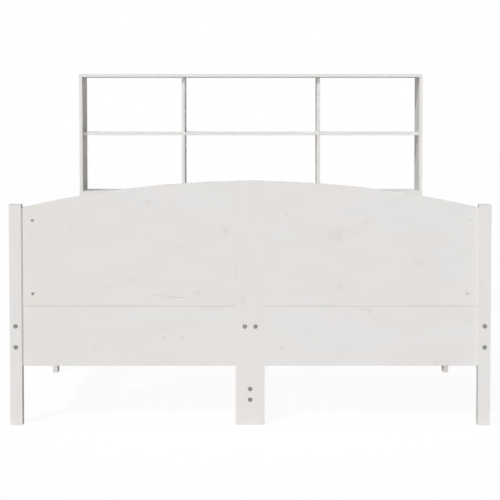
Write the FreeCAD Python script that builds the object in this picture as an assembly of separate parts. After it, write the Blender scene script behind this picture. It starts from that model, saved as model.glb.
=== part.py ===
import FreeCAD, Part
import math
import os

# A double bed in white-painted pine: an arched footboard, side rails in two lengths with a leg between
# them, a slatted deck, a low head frame, and an open bookcase that stands behind the head frame.
# Millimetres. X runs across the bed, Y from the foot to the head, Z up from the floor.
# The origin is on the floor, in the middle of everything the bed covers there.

# ---- Whole bed ----
bed_width = 1655.0               # over the corner posts, and over the bookcase
rail_span = 2000.0               # between the foot frame and the head frame, as long as the mattress

# ---- Corner posts ----
post_width = 42.5                # across the bed
post_depth = 38.0                # along the bed
foot_post_height = 763.0
edge_rounding = 1.5              # on the sawn edges of posts, planks, rails and frame boards

# ---- Boards of the foot and head frames, in the middle of the posts' depth ----
board_setback = 8.0              # of their faces behind the faces of the posts, on both sides
frame_board_bottom = 206.0
frame_board_top = 412.0          # also the seam under the arched panels, and the top of the rails
arch_peak = 843.0
arch_rise = 91.0                 # from the arch's ends at the posts to its peak
seam_groove_height = 1.0         # dark line between the lower boards and the arched panels
seam_groove_depth = 3.0

# ---- Centre planks, let into the boards and flush with their outer side ----
plank_width = 100.0
plank_thickness = 15.0
plank_rounding = 0.3
foot_plank_height = 845.0

# ---- Side rails and the legs between their two lengths ----
rail_thickness = 20.0
rail_inset = 10.5                # from the outer side of the posts to the outer side of the rails
mid_leg_width = 57.0             # along the bed

# ---- Slatted deck ----
deck_height = 352.0              # underside of the slats
slat_thickness = 12.0
slat_width = 70.0
slats_per_side = 14
slat_end_gap = 2.0               # at the rails, and between the two slats that meet on the beam
slat_rounding = 1.0
ledge_width = 20.0
ledge_height = 30.0
beam_width = 70.0
beam_thickness = 20.0
low_rail_thickness = 20.0
low_rail_height = 70.0
low_rail_bottom = 71.5

# ---- Bookcase ----
bookcase_height = 1255.0
bookcase_depth = 213.0
bookcase_board = 15.0            # thickness of each of its boards
bottom_shelf_height = 689.0      # upper side of the bottom shelf
shelf_setback = 35.0             # middle shelf and dividers, behind the front edges of the sides
divider_spacing = 655.0          # between the middles of the two dividers
middle_shelf_raise = 2.0         # above the middle between the bottom shelf and the top
bookcase_rounding = 1.0
front_board_bevel = 0.4          # where the two boards that close its base meet

# ---- Bolts and barrel nuts ----
bolt_diameter = 6.0
bolt_hole_diameter = 7.0
bolt_past_nut = 8.0              # from the middle of the nut to the end of the bolt
bolt_hole_room = 5.0             # hole beyond the end of the bolt
bolt_head_diameter = 15.0
bolt_head_height = 2.5
bolt_head_bevel = 1.2
panel_bolt_head_diameter = 12.0
socket_width = 4.0               # across the flats
socket_depth = 3.0
counterbore_room = 0.5           # around and above the bolt heads sunk in the head posts
nut_diameter = 10.0
nut_inset = 37.0                 # from the end of the board to the middle of the nut
nut_end_recess = 0.5
nut_thread_room = 0.1            # round the bolt
nut_hole_room = 0.15             # round the nut
nut_slot_width = 1.4
nut_slot_depth = 1.2
rail_bolt_low = 65.0             # above the lower edge of the rails
rail_bolt_spacing = 73.0         # one above the other
panel_bolt_low = 43.0            # above the seam
panel_bolt_high = 54.5           # below the top of the foot posts
beam_bolt_spacing = 36.6         # across the bed
low_bolt_spacing = 37.0          # one above the other

# ---- Dowels ----
dowel_diameter = 8.0
dowel_length = 40.0
seam_dowels = 3                  # in each half of the footboard's seam
shelf_dowel_diameter = 6.0
shelf_dowel_length = 45.0
shelf_dowel_bite = 9.0           # into the underside of the bottom shelf
front_board_dowels = 3
dowel_room = 0.15                # round a dowel
dowel_end_room = 0.5

# ---- Wood screws: shank, head, and how far each bites past the piece that it holds ----
slat_screw = {"shank": 3.5, "head": 7.0, "bite": 18.0}
ledge_screw = {"shank": 4.0, "head": 8.0, "bite": 14.0}
beam_screw = {"shank": 4.5, "head": 9.0, "bite": 40.0}
plank_screw = {"shank": 4.0, "head": 8.0, "bite": 10.0}
plate_screw = {"shank": 4.0, "head": 8.0, "bite": 13.5}
bookcase_screw = {"shank": 5.0, "head": 10.0, "bite": 35.0}
fixing_screw = {"shank": 5.0, "head": 10.0, "bite": 25.0}
screw_head_sink = 0.3
screw_room = 0.1                 # round a screw
plank_screws_above_seam = 3
plank_screw_spacing = 50.0       # between the left and right columns
bookcase_screw_inset = 35.0      # from the front and back edges of a bookcase board
fixing_screw_inset = 29.5        # from the outer side of the bookcase
fixing_screw_edge = 15.0         # from the lower and upper edge of the lower boards

# ---- Steel plates that join the rail lengths to their mid legs ----
plate_length = 180.0
plate_height = 60.0
plate_thickness = 2.5
plate_screw_edge = 12.0          # from the upper and lower edge of the plate
plate_screw_end = 30.0           # from the ends of the plate
plate_screw_seam = 15.0          # from the joint between the two lengths

# ---- Directions ----
ACROSS = FreeCAD.Vector(1, 0, 0)
ALONG = FreeCAD.Vector(0, 1, 0)
UP = FreeCAD.Vector(0, 0, 1)
LEFT, RIGHT = -1, 1
FOOT, HEAD = -1, 1
SIDES = {"left": LEFT, "right": RIGHT}
ENDS = {"foot": FOOT, "head": HEAD}
TINY = 1e-6

# ---- Places worked out from the sizes ----
total_length = bolt_head_height + post_depth + rail_span + post_depth + bookcase_depth
foot_inner = bolt_head_height + post_depth - total_length / 2
middle_y = foot_inner + rail_span / 2
bookcase_front = foot_inner + rail_span + post_depth
bookcase_back = bookcase_front + bookcase_depth
half_width = bed_width / 2
frame_board_thickness = post_depth - 2 * board_setback
housed_thickness = frame_board_thickness - plank_thickness  # what the boards keep behind the plank
post_inner_x = half_width - post_width
rail_outer_x = half_width - rail_inset
rail_inner_x = rail_outer_x - rail_thickness
rail_middle_x = rail_outer_x - rail_thickness / 2
beam_bottom = deck_height - beam_thickness
beam_middle = deck_height - beam_thickness / 2
low_rail_top = low_rail_bottom + low_rail_height
low_rail_middle = low_rail_bottom + low_rail_height / 2
slat_pitch = rail_span / slats_per_side
bookcase_inner_x = half_width - bookcase_board
bookcase_top_underside = bookcase_height - bookcase_board
bottom_shelf_underside = bottom_shelf_height - bookcase_board
opening_middle = (bottom_shelf_height + bookcase_top_underside) / 2
middle_shelf_height = opening_middle + bookcase_board / 2 + middle_shelf_raise
middle_shelf_underside = middle_shelf_height - bookcase_board
lowest_rail_bolt = frame_board_bottom + rail_bolt_low
rail_bolt_heights = (lowest_rail_bolt, lowest_rail_bolt + rail_bolt_spacing)
panel_bolt_heights = (frame_board_top + panel_bolt_low, foot_post_height - panel_bolt_high)
plate_screw_rows = plate_height - 2 * plate_screw_edge
plate_screw_columns = (plate_screw_seam, plate_length / 2 - plate_screw_end)
front_board_seam = (frame_board_bottom + bottom_shelf_underside) / 2
counterbore_depth = bolt_head_height + counterbore_room
rail_bolt_length = post_depth + nut_inset + bolt_past_nut
panel_bolt_length = post_width + nut_inset + bolt_past_nut
centre_bolt_length = frame_board_thickness + nut_inset + bolt_past_nut


def inner_y(end):
    """Mattress side of the frame at this end."""
    return middle_y + end * rail_span / 2


def post_outer_y(end):
    return inner_y(end) + end * post_depth


def board_inner_y(end):
    return inner_y(end) + end * board_setback


def board_middle_y(end):
    return inner_y(end) + end * post_depth / 2


def board_outer_y(end):
    """Outer side of the frame's boards and of the plank let into them."""
    return post_outer_y(end) - end * board_setback


def plank_inner_y(end):
    return board_outer_y(end) - end * plank_thickness


def upright_y(end):
    """Middle of the short upright, half way between the frame and the mid leg."""
    return middle_y + end * rail_span / 4


def slat_y(step):
    """Middle of a slat, counted from the foot."""
    return foot_inner + (step + 0.5) * slat_pitch


# ---- Shaping ----
def block(x_pair, y_pair, z_pair):
    """A box between two values on each axis, given in either order."""
    low = FreeCAD.Vector(min(x_pair), min(y_pair), min(z_pair))
    high = FreeCAD.Vector(max(x_pair), max(y_pair), max(z_pair))
    size = high - low
    return Part.makeBox(size.x, size.y, size.z, low)


def edges_along(shape, axis):
    """The straight edges that run along an axis."""
    straight = [edge for edge in shape.Edges if isinstance(edge.Curve, Part.Line)]
    return [edge for edge in straight if abs(edge.Curve.Direction.cross(axis).Length) < TINY]


def edges_at_height(shape, height):
    """The edges that lie level at a height."""
    return [
        edge
        for edge in shape.Edges
        if abs(edge.BoundBox.ZMin - height) < TINY and abs(edge.BoundBox.ZMax - height) < TINY
    ]


def long_edges_at(shape, height):
    """The edges at a height that run across the bed."""
    return [edge for edge in edges_along(shape, ACROSS) if abs(edge.BoundBox.ZMax - height) < TINY]


def rounded_along(shape, axis, radius):
    return shape.makeFillet(radius, edges_along(shape, axis))


def rounded_upright(shape, radius):
    """Rounds the upright edges and the edges of the top, and leaves the foot square."""
    top = edges_at_height(shape, shape.BoundBox.ZMax)
    return shape.makeFillet(radius, edges_along(shape, UP) + top)


def turned(outline):
    """A solid turned about Z from (radius, height) points that start and end on the axis."""
    points = [FreeCAD.Vector(radius, 0, height) for radius, height in outline]
    face = Part.Face(Part.makePolygon(points + points[:1]))
    return face.revolve(FreeCAD.Vector(), UP, 360)


def aimed(shape, point, direction):
    """A copy of the shape with its own Z turned to the direction, and its origin put at the point."""
    copy = shape.copy()
    copy.Placement = FreeCAD.Placement(point, FreeCAD.Rotation(UP, direction))
    return copy


def rod(point, direction, diameter, length):
    return Part.makeCylinder(diameter / 2, length, point, direction)


# ---- Where the fasteners go: each place is a point and the direction in which it is driven ----
def rail_bolt_places():
    places = []
    for end in (FOOT, HEAD):
        sunk = counterbore_depth if end == HEAD else 0.0
        for side in (LEFT, RIGHT):
            for height in rail_bolt_heights:
                point = FreeCAD.Vector(side * rail_middle_x, post_outer_y(end) - end * sunk, height)
                places.append((point, ALONG * -end))
    return places


def panel_bolt_places():
    places = []
    for side in (LEFT, RIGHT):
        for height in panel_bolt_heights:
            point = FreeCAD.Vector(side * half_width, board_middle_y(FOOT), height)
            places.append((point, ACROSS * -side))
    return places


def beam_bolt_places():
    return [
        (FreeCAD.Vector(side * beam_bolt_spacing / 2, board_outer_y(end), beam_middle), ALONG * -end)
        for end in (FOOT, HEAD)
        for side in (LEFT, RIGHT)
    ]


def low_bolt_places():
    return [
        (FreeCAD.Vector(0, board_outer_y(end), low_rail_middle + step * low_bolt_spacing / 2), ALONG * -end)
        for end in (FOOT, HEAD)
        for step in (-1, 1)
    ]


def rail_nut_places():
    """Where barrel nuts go: middle, bolt direction, and the nut's own axis."""
    return [
        (FreeCAD.Vector(side * rail_middle_x, inner_y(end) - end * nut_inset, height), ALONG * -end, ACROSS)
        for end in (FOOT, HEAD)
        for side in (LEFT, RIGHT)
        for height in rail_bolt_heights
    ]


def beam_nut_places():
    reach = centre_bolt_length - bolt_past_nut
    return [(point + direction * reach, direction, UP) for point, direction in beam_bolt_places()]


def low_nut_places():
    reach = centre_bolt_length - bolt_past_nut
    return [(point + direction * reach, direction, ACROSS) for point, direction in low_bolt_places()]


def panel_nut_places():
    places = []
    for side in (LEFT, RIGHT):
        for height in panel_bolt_heights:
            middle = FreeCAD.Vector(side * (post_inner_x - nut_inset), board_middle_y(FOOT), height)
            places.append((middle, ACROSS * -side, ALONG))
    return places


def lower_board_heights():
    """Dowels and screws in the lower boards lie half way between the rail bolts and the boards' edges."""
    low_bolt, high_bolt = rail_bolt_heights
    return [(frame_board_bottom + low_bolt) / 2, (high_bolt + frame_board_top) / 2]


def bed_dowel_places():
    """Middles and directions of the dowels of the two frames and of the short uprights."""
    places = []
    for side in (LEFT, RIGHT):
        for end in (FOOT, HEAD):
            for height in lower_board_heights():
                point = FreeCAD.Vector(side * post_inner_x, board_middle_y(end), height)
                places.append((point, ACROSS))
        for step in range(seam_dowels):
            x = side * post_inner_x * (step + 0.5) / seam_dowels
            places.append((FreeCAD.Vector(x, board_middle_y(FOOT), frame_board_top), UP))
    for end in (FOOT, HEAD):
        for step in (-1, 1):
            y = upright_y(end) + step * mid_leg_width / 4
            places.append((FreeCAD.Vector(0, y, low_rail_top), UP))
    return places


def set_back_rows():
    """Front and back screw rows of the middle shelf and the dividers."""
    first = bookcase_front + shelf_setback + bookcase_screw_inset
    return first, bookcase_back - bookcase_screw_inset


def full_depth_rows():
    return bookcase_front + bookcase_screw_inset, bookcase_back - bookcase_screw_inset


def bookcase_dowel_places():
    """Dowels through the middle shelf into both dividers, and up into the underside of the bottom shelf."""
    front_row, back_row = set_back_rows()
    through = middle_shelf_underside + bookcase_board / 2
    blind = bottom_shelf_underside + shelf_dowel_bite - shelf_dowel_length / 2
    partition_rows = (
        (bookcase_front + bookcase_board + front_row) / 2,
        (front_row + back_row) / 2,
    )
    places = []
    for side in (LEFT, RIGHT):
        x = side * divider_spacing / 2
        places += [(FreeCAD.Vector(x, y, through), UP) for y in (front_row, back_row)]
        places += [(FreeCAD.Vector(x, y, blind), UP) for y in partition_rows]
    for step in range(front_board_dowels):
        x = bookcase_inner_x * (2 * step + 1 - front_board_dowels) / front_board_dowels
        places.append((FreeCAD.Vector(x, bookcase_front + bookcase_board / 2, blind), UP))
    return places


def slat_screw_places():
    ledge_x = rail_inner_x - ledge_width / 2
    beam_x = beam_width / 4
    return [
        (FreeCAD.Vector(side * x, slat_y(step), deck_height + slat_thickness), -UP)
        for side in (LEFT, RIGHT)
        for step in range(slats_per_side)
        for x in (ledge_x, beam_x)
    ]


def ledge_screw_places():
    """Between the slats, and one more from each ledge into the mid leg."""
    steps = [step for step in range(1, slats_per_side) if 2 * step != slats_per_side]
    rows = [foot_inner + step * slat_pitch for step in steps]
    rows += [middle_y + end * mid_leg_width / 4 for end in (FOOT, HEAD)]
    height = deck_height - ledge_height / 2
    return [
        (FreeCAD.Vector(side * (rail_inner_x - ledge_width), y, height), ACROSS * side)
        for side in (LEFT, RIGHT)
        for y in rows
    ]


def beam_screw_places():
    """Down through the beam into the mid leg and the short uprights."""
    rows = [middle_y + end * mid_leg_width / 4 for end in (FOOT, HEAD)]
    rows += [upright_y(end) + step * mid_leg_width / 4 for end in (FOOT, HEAD) for step in (-1, 1)]
    return [(FreeCAD.Vector(0, y, deck_height), -UP) for y in rows]


def plank_screw_places():
    """From the mattress side, through what the boards keep there, into the centre planks."""
    upper = [
        frame_board_top + (foot_plank_height - frame_board_top) * (step + 0.5) / plank_screws_above_seam
        for step in range(plank_screws_above_seam)
    ]
    places = []
    for side in (LEFT, RIGHT):
        x = side * plank_screw_spacing / 2
        for end in (FOOT, HEAD):
            heights = lower_board_heights() + (upper if end == FOOT else [])
            places += [(FreeCAD.Vector(x, board_inner_y(end), height), ALONG * end) for height in heights]
    return places


def plate_places():
    """Middles of the joining plates' inner faces, and the way out of the wood."""
    rail_plate_height = (frame_board_bottom + deck_height - ledge_height) / 2
    places = [
        (FreeCAD.Vector(side * rail_inner_x, middle_y, rail_plate_height), ACROSS * -side)
        for side in (LEFT, RIGHT)
    ]
    places.append((FreeCAD.Vector(low_rail_thickness / 2, middle_y, low_rail_middle), ACROSS))
    return places


def plate_screw_places():
    places = []
    for middle, outward in plate_places():
        for column in plate_screw_columns:
            for step_y in (-column, column):
                for step_z in (-plate_screw_rows / 2, plate_screw_rows / 2):
                    point = middle + outward * plate_thickness + ALONG * step_y + UP * step_z
                    places.append((point, -outward))
    return places


def front_board_heights():
    """Two screw heights in each of the two boards that close the bookcase's base."""
    heights = []
    for low, high in ((frame_board_bottom, front_board_seam), (front_board_seam, bottom_shelf_underside)):
        heights += [low + (high - low) / 3, high - (high - low) / 3]
    return heights


def bookcase_screw_places():
    divider_x = divider_spacing / 2
    shelf_middle = bookcase_board / 2
    places = []
    for side in (LEFT, RIGHT):
        for y in full_depth_rows():
            side_top = FreeCAD.Vector(side * (half_width - shelf_middle), y, bookcase_height)
            places.append((side_top, -UP))
            shelf_end = FreeCAD.Vector(side * half_width, y, bottom_shelf_underside + shelf_middle)
            places.append((shelf_end, ACROSS * -side))
        for y in set_back_rows():
            places.append((FreeCAD.Vector(side * divider_x, y, bookcase_height), -UP))
            places.append((FreeCAD.Vector(side * divider_x, y, bottom_shelf_underside), UP))
            shelf_end = FreeCAD.Vector(side * half_width, y, middle_shelf_underside + shelf_middle)
            places.append((shelf_end, ACROSS * -side))
        for height in front_board_heights():
            board_end = FreeCAD.Vector(side * half_width, bookcase_front + shelf_middle, height)
            places.append((board_end, ACROSS * -side))
            places.append((FreeCAD.Vector(side * divider_x, bookcase_front, height), ALONG))
    return places


def fixing_screw_places():
    """From inside the bookcase's base through its lower front board into the head posts."""
    x = half_width - fixing_screw_inset
    y = bookcase_front + bookcase_board
    return [
        (FreeCAD.Vector(side * x, y, height), -ALONG)
        for side in (LEFT, RIGHT)
        for height in (frame_board_bottom + fixing_screw_edge, frame_board_top - fixing_screw_edge)
    ]


# ---- Fasteners ----
def bolt(head_diameter, length):
    """Flat bevelled head with a hex socket above the origin, plain shank below it along +Z."""
    radius = bolt_diameter / 2
    head_radius = head_diameter / 2
    outline = [
        (0, -bolt_head_height),
        (head_radius - bolt_head_bevel, -bolt_head_height),
        (head_radius, -bolt_head_height + bolt_head_bevel),
        (head_radius, 0),
        (radius, 0),
        (radius, length - radius / 2),
        (radius / 2, length),
        (0, length),
    ]
    corner = socket_width / 2 / math.cos(math.pi / 6)
    turns = [math.pi / 3 * step for step in range(6)]
    ring = [FreeCAD.Vector(corner * math.cos(a), corner * math.sin(a), -bolt_head_height) for a in turns]
    socket = Part.Face(Part.makePolygon(ring + ring[:1])).extrude(UP * socket_depth)
    return turned(outline).cut(socket)


def bolts(places, head_diameter, length):
    one = bolt(head_diameter, length)
    return [aimed(one, point, direction) for point, direction in places]


def barrel_nut(length):
    """A cylinder along Z with a slot in each end, crossed by the bolt's hole along X."""
    radius = nut_diameter / 2
    nut = rod(UP * (-length / 2), UP, nut_diameter, length)
    thread = rod(ACROSS * -nut_diameter, ACROSS, bolt_diameter + 2 * nut_thread_room, 2 * nut_diameter)
    half_slot = nut_slot_width / 2
    slots = [
        block((-radius, radius), (-half_slot, half_slot), (face, face - sign * nut_slot_depth))
        for sign, face in ((1, length / 2), (-1, -length / 2))
    ]
    return nut.cut([thread] + slots)


def barrel_nuts(places, board_thickness):
    """Barrel nuts just shorter than the thickness of the board that they lie in."""
    one = barrel_nut(board_thickness - 2 * nut_end_recess)
    nuts = []
    for middle, bolt_direction, axis in places:
        nut = one.copy()
        turn = FreeCAD.Rotation(bolt_direction, FreeCAD.Vector(), axis, "ZXY")
        nut.Placement = FreeCAD.Placement(middle, turn)
        nuts.append(nut)
    return nuts


def screw(kind, held_thickness):
    """Countersunk screw, driven along +Z from the surface at the origin."""
    radius = kind["shank"] / 2
    head_radius = kind["head"] / 2
    length = held_thickness + kind["bite"]
    cone = head_radius - radius
    outline = [
        (0, screw_head_sink),
        (head_radius, screw_head_sink),
        (radius, screw_head_sink + cone),
        (radius, length - kind["shank"]),
        (0, length),
    ]
    return turned(outline)


def screw_hole(kind, held_thickness):
    """The countersink and pilot hole that a screw lies in."""
    radius = kind["shank"] / 2 + screw_room
    head_radius = kind["head"] / 2 + screw_room
    length = held_thickness + kind["bite"] + screw_room
    outline = [
        (0, 0),
        (head_radius, 0),
        (head_radius, screw_head_sink),
        (radius, screw_head_sink + head_radius - radius),
        (radius, length),
        (0, length),
    ]
    return turned(outline)


# Places of barrel nuts, and the thickness of the board that they lie in
RAIL_NUTS = [
    (rail_nut_places, rail_thickness),
    (beam_nut_places, beam_thickness),
    (low_nut_places, low_rail_thickness),
]
PANEL_NUTS = [(panel_nut_places, frame_board_thickness)]

# Each kind of screw, the thickness that it holds, and its places
SCREWS = {
    "slat_screws": (slat_screw, slat_thickness, slat_screw_places),
    "ledge_screws": (ledge_screw, ledge_width, ledge_screw_places),
    "beam_screws": (beam_screw, beam_thickness, beam_screw_places),
    "plank_screws": (plank_screw, housed_thickness, plank_screw_places),
    "plate_screws": (plate_screw, plate_thickness, plate_screw_places),
    "bookcase_screws": (bookcase_screw, bookcase_board, bookcase_screw_places),
    "bookcase_fixing_screws": (fixing_screw, bookcase_board, fixing_screw_places),
}


def dowels(places, diameter, length):
    return [rod(point - direction * (length / 2), direction, diameter, length) for point, direction in places]


def joining_plates():
    plates = []
    for middle, outward in plate_places():
        outer = middle + outward * plate_thickness
        plates.append(
            block(
                (middle.x, outer.x),
                (middle.y - plate_length / 2, middle.y + plate_length / 2),
                (middle.z - plate_height / 2, middle.z + plate_height / 2),
            )
        )
    return plates


# ---- Every hole in the bed ----
def bolt_holes():
    depths = (
        (rail_bolt_places(), rail_bolt_length),
        (panel_bolt_places(), panel_bolt_length),
        (beam_bolt_places(), centre_bolt_length),
        (low_bolt_places(), centre_bolt_length),
    )
    return [
        rod(point, direction, bolt_hole_diameter, length + bolt_hole_room)
        for places, length in depths
        for point, direction in places
    ]


def counterbores():
    """Room for the bolt heads in the head posts, so that the bookcase can stand against them."""
    diameter = bolt_head_diameter + 2 * counterbore_room
    return [
        rod(point, -direction, diameter, counterbore_depth)
        for point, direction in rail_bolt_places()
        if point.y > middle_y
    ]


def nut_holes():
    diameter = nut_diameter + 2 * nut_hole_room
    groups = RAIL_NUTS + PANEL_NUTS
    return [
        rod(middle - axis * (thickness / 2), axis, diameter, thickness)
        for places, thickness in groups
        for middle, _, axis in places()
    ]


def dowel_holes():
    holes = []
    for places, diameter, length in (
        (bed_dowel_places(), dowel_diameter, dowel_length),
        (bookcase_dowel_places(), shelf_dowel_diameter, shelf_dowel_length),
    ):
        holes += dowels(places, diameter + 2 * dowel_room, length + 2 * dowel_end_room)
    return holes


def screw_holes():
    holes = []
    for kind, held_thickness, places in SCREWS.values():
        one = screw_hole(kind, held_thickness)
        holes += [aimed(one, point, direction) for point, direction in places()]
    return holes


def drilled(shape, holes):
    """Cuts the holes that reach the shape."""
    near = [hole for hole in holes if hole.BoundBox.intersect(shape.BoundBox)]
    return shape.cut(near) if near else shape


# ---- Foot frame and head frame ----
def corner_post(side, end):
    height = foot_post_height if end == FOOT else frame_board_top
    post = block((side * post_inner_x, side * half_width), (inner_y(end), post_outer_y(end)), (0, height))
    return rounded_upright(post, edge_rounding)


def centre_plank(end):
    height = foot_plank_height if end == FOOT else frame_board_top
    plank = block(
        (-plank_width / 2, plank_width / 2),
        (plank_inner_y(end), board_outer_y(end)),
        (0, height),
    )
    return rounded_upright(plank, plank_rounding)


def housed(board, end):
    """Cuts the recess for the centre plank into the outer side of a board."""
    recess = block(
        (-plank_width / 2, plank_width / 2),
        (plank_inner_y(end), board_outer_y(end)),
        (0, foot_plank_height),
    )
    return board.cut(recess)


def lower_board(side, end):
    board = block(
        (0, side * post_inner_x),
        (board_inner_y(end), board_outer_y(end)),
        (frame_board_bottom, frame_board_top),
    )
    board = board.makeFillet(edge_rounding, long_edges_at(board, frame_board_bottom))
    return housed(board, end)


def upper_panel(side):
    """Half of the arched panel. One circle with its middle on the bed's centre plane bounds both halves."""
    radius = (post_inner_x ** 2 + arch_rise ** 2) / (2 * arch_rise)
    circle_height = arch_peak - radius

    def on_arch(x):
        height = circle_height + math.sqrt(radius ** 2 - x ** 2)
        return FreeCAD.Vector(side * x, board_outer_y(FOOT), height)

    peak = on_arch(0)
    low_end = on_arch(post_inner_x)
    outer_corner = FreeCAD.Vector(low_end.x, low_end.y, frame_board_top)
    middle_corner = FreeCAD.Vector(0, low_end.y, frame_board_top)
    arch = Part.Arc(peak, on_arch(post_inner_x / 2), low_end).toShape()
    straight = Part.makePolygon([low_end, outer_corner, middle_corner, peak])
    face = Part.Face(Part.Wire([arch] + straight.Edges))
    panel = face.extrude(ALONG * frame_board_thickness)
    top = [edge for edge in panel.Edges if isinstance(edge.Curve, Part.Circle)]
    panel = panel.makeFillet(edge_rounding, top)
    seam_groove = block(
        (0, side * post_inner_x),
        (board_outer_y(FOOT), board_outer_y(FOOT) - FOOT * seam_groove_depth),
        (frame_board_top, frame_board_top + seam_groove_height),
    )
    return housed(panel.cut(seam_groove), FOOT)


# ---- Side rails, mid legs and ledges ----
def side_rail(side, end):
    leg_face = middle_y + end * mid_leg_width / 2
    rail = block(
        (side * rail_inner_x, side * rail_outer_x),
        (leg_face, inner_y(end)),
        (frame_board_bottom, frame_board_top),
    )
    return rounded_along(rail, ALONG, edge_rounding)


def mid_leg(side):
    leg = block(
        (side * rail_inner_x, side * rail_outer_x),
        (middle_y - mid_leg_width / 2, middle_y + mid_leg_width / 2),
        (0, frame_board_top),
    )
    return rounded_upright(leg, edge_rounding)


def slat_ledge(side, end):
    """Reaches to the middle of the mid leg, and so ties the rail to it."""
    return block(
        (side * (rail_inner_x - ledge_width), side * rail_inner_x),
        (middle_y, inner_y(end)),
        (deck_height - ledge_height, deck_height),
    )


# ---- Centre support ----
def centre_beam(end):
    half = beam_width / 2
    beam = block((-half, half), (middle_y, board_inner_y(end)), (beam_bottom, deck_height))
    return rounded_along(beam, ALONG, edge_rounding)


def low_rail(end):
    """On edge, under the boards' lower edges, up to the plank."""
    half = low_rail_thickness / 2
    leg_face = middle_y + end * mid_leg_width / 2
    rail = block((-half, half), (leg_face, plank_inner_y(end)), (low_rail_bottom, low_rail_top))
    return rounded_along(rail, ALONG, edge_rounding)


def centre_support(middle, bottom):
    """An upright of the low rail's thickness, from a height up to the beam."""
    half = low_rail_thickness / 2
    support = block(
        (-half, half),
        (middle - mid_leg_width / 2, middle + mid_leg_width / 2),
        (bottom, beam_bottom),
    )
    return rounded_along(support, UP, edge_rounding)


def slats(side):
    """One row of slats, from the middle of the beam out to the rail."""
    row = []
    for step in range(slats_per_side):
        slat = block(
            (side * slat_end_gap / 2, side * (rail_inner_x - slat_end_gap)),
            (slat_y(step) - slat_width / 2, slat_y(step) + slat_width / 2),
            (deck_height, deck_height + slat_thickness),
        )
        row.append(rounded_along(slat, ACROSS, slat_rounding))
    return row


# ---- Bookcase ----
def bookcase_side(side):
    board = block(
        (side * bookcase_inner_x, side * half_width),
        (bookcase_front, bookcase_back),
        (0, bookcase_top_underside),
    )
    return rounded_along(board, UP, bookcase_rounding)


def bookcase_shelf(half_length, front, top):
    """A level board from its front to the back of the bookcase."""
    board = block((-half_length, half_length), (front, bookcase_back), (top - bookcase_board, top))
    return rounded_along(board, ACROSS, bookcase_rounding)


def bookcase_upright(side, front, bottom, top):
    """A divider or a partition, from its front to the back of the bookcase."""
    middle = side * divider_spacing / 2
    board = block(
        (middle - bookcase_board / 2, middle + bookcase_board / 2),
        (front, bookcase_back),
        (bottom, top),
    )
    return rounded_along(board, UP, bookcase_rounding)


def front_board(bottom, top):
    board = block(
        (-bookcase_inner_x, bookcase_inner_x),
        (bookcase_front, bookcase_front + bookcase_board),
        (bottom, top),
    )
    return board.makeChamfer(front_board_bevel, edges_along(board, ACROSS))


# ---- All pieces by name ----
def wooden_parts():
    set_back_front = bookcase_front + shelf_setback
    parts = {
        "foot_centre_plank": centre_plank(FOOT),
        "head_centre_plank": centre_plank(HEAD),
        "centre_mid_leg": centre_support(middle_y, 0),
        "bookcase_top": bookcase_shelf(half_width, bookcase_front, bookcase_height),
        "bookcase_middle_shelf": bookcase_shelf(bookcase_inner_x, set_back_front, middle_shelf_height),
        "bookcase_bottom_shelf": bookcase_shelf(bookcase_inner_x, bookcase_front, bottom_shelf_height),
        "bookcase_front_lower": front_board(frame_board_bottom, front_board_seam),
        "bookcase_front_upper": front_board(front_board_seam, bottom_shelf_underside),
    }
    for end_name, end in ENDS.items():
        parts[f"centre_beam_{end_name}"] = centre_beam(end)
        parts[f"centre_low_rail_{end_name}"] = low_rail(end)
        parts[f"centre_upright_{end_name}"] = centre_support(upright_y(end), low_rail_top)
    for side_name, side in SIDES.items():
        parts[f"foot_upper_panel_{side_name}"] = upper_panel(side)
        parts[f"mid_leg_{side_name}"] = mid_leg(side)
        parts[f"slats_{side_name}"] = Part.makeCompound(slats(side))
        parts[f"bookcase_side_{side_name}"] = bookcase_side(side)
        parts[f"bookcase_upper_divider_{side_name}"] = bookcase_upright(
            side, set_back_front, middle_shelf_height, bookcase_top_underside
        )
        parts[f"bookcase_lower_divider_{side_name}"] = bookcase_upright(
            side, set_back_front, bottom_shelf_height, middle_shelf_underside
        )
        parts[f"bookcase_base_partition_{side_name}"] = bookcase_upright(
            side, bookcase_front + bookcase_board, 0, bottom_shelf_underside
        )
        for end_name, end in ENDS.items():
            parts[f"{end_name}_post_{side_name}"] = corner_post(side, end)
            parts[f"{end_name}_lower_board_{side_name}"] = lower_board(side, end)
            parts[f"side_rail_{side_name}_{end_name}"] = side_rail(side, end)
            parts[f"slat_ledge_{side_name}_{end_name}"] = slat_ledge(side, end)
    return parts


def fasteners():
    groups = {
        "rail_bolts": bolts(rail_bolt_places(), bolt_head_diameter, rail_bolt_length),
        "panel_bolts": bolts(panel_bolt_places(), panel_bolt_head_diameter, panel_bolt_length),
        "centre_bolts": bolts(
            beam_bolt_places() + low_bolt_places(), bolt_head_diameter, centre_bolt_length
        ),
        "rail_barrel_nuts": [nut for places, board in RAIL_NUTS for nut in barrel_nuts(places(), board)],
        "panel_barrel_nuts": [nut for places, board in PANEL_NUTS for nut in barrel_nuts(places(), board)],
        "bed_dowels": dowels(bed_dowel_places(), dowel_diameter, dowel_length),
        "bookcase_dowels": dowels(bookcase_dowel_places(), shelf_dowel_diameter, shelf_dowel_length),
    }
    for name, (kind, held_thickness, places) in SCREWS.items():
        one = screw(kind, held_thickness)
        groups[name] = [aimed(one, point, direction) for point, direction in places()]
    return groups


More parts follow.
